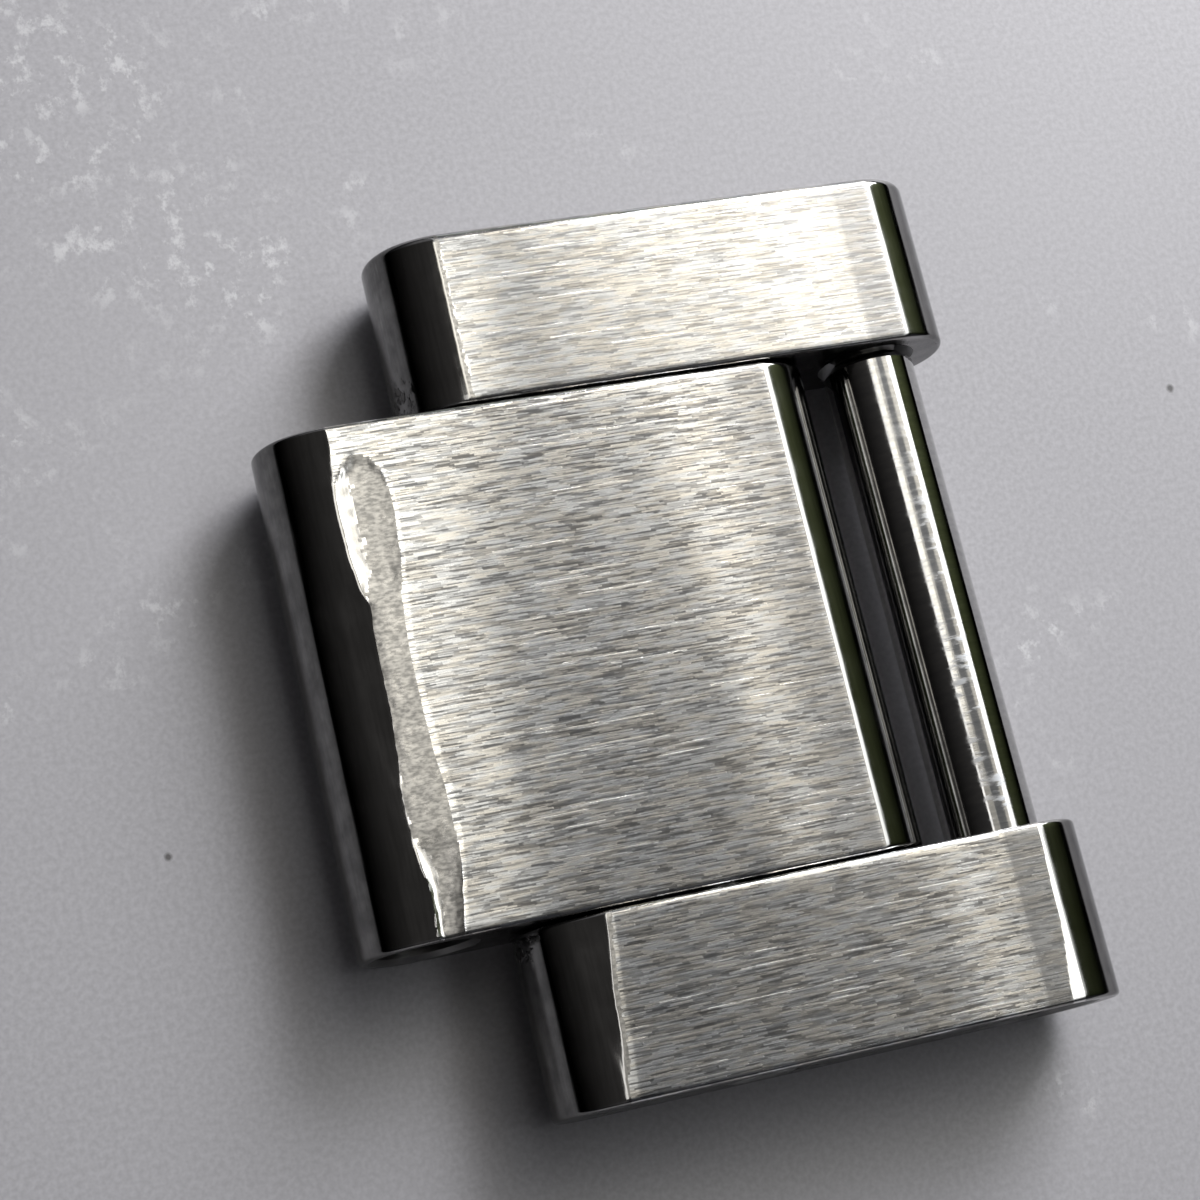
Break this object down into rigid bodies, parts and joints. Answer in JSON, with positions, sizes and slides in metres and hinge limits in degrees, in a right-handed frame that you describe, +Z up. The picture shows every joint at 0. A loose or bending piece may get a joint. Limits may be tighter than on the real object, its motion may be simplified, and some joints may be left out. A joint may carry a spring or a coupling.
{
  "type": "watch bracelet link",
  "caption": "Flat bracelet link: a wide bar hinged between two narrow bars, with a slotted screw across the fork that takes the neighbouring link.",
  "frame": {"origin": "middle of the underside of the whole link", "axes": "+X along the bracelet towards the screw, +Y across it away from the screw's head, +Z up through the outer face"},
  "size_m": [0.0144, 0.017, 0.0027],
  "materials": {
    "bar_steel": "satin brushed along the bracelet, polished ends",
    "screw_steel": "polished, with fine wear rings",
    "pin_steel": "ground"
  },
  "bodies": {
    "outer_links": {"outer_link_far": "bar_steel", "outer_link_near": "bar_steel", "hinge_pin": "pin_steel"},
    "centre": {"centre_link": "bar_steel"},
    "screw": {"link_screw": "screw_steel"}
  },
  "joints": [
    {"name": "centre_pivot", "type": "hinge", "parent": "outer_links", "child": "centre", "pos_m": [-0.00018, 0, 0.00135], "axis": [0, 1, 0], "range_deg": [-150, 150]},
    {"name": "screw_slide", "type": "slide", "parent": "outer_links", "child": "screw", "axis": [0, -1, 0], "range_m": [0, 0.013]}
  ]
}
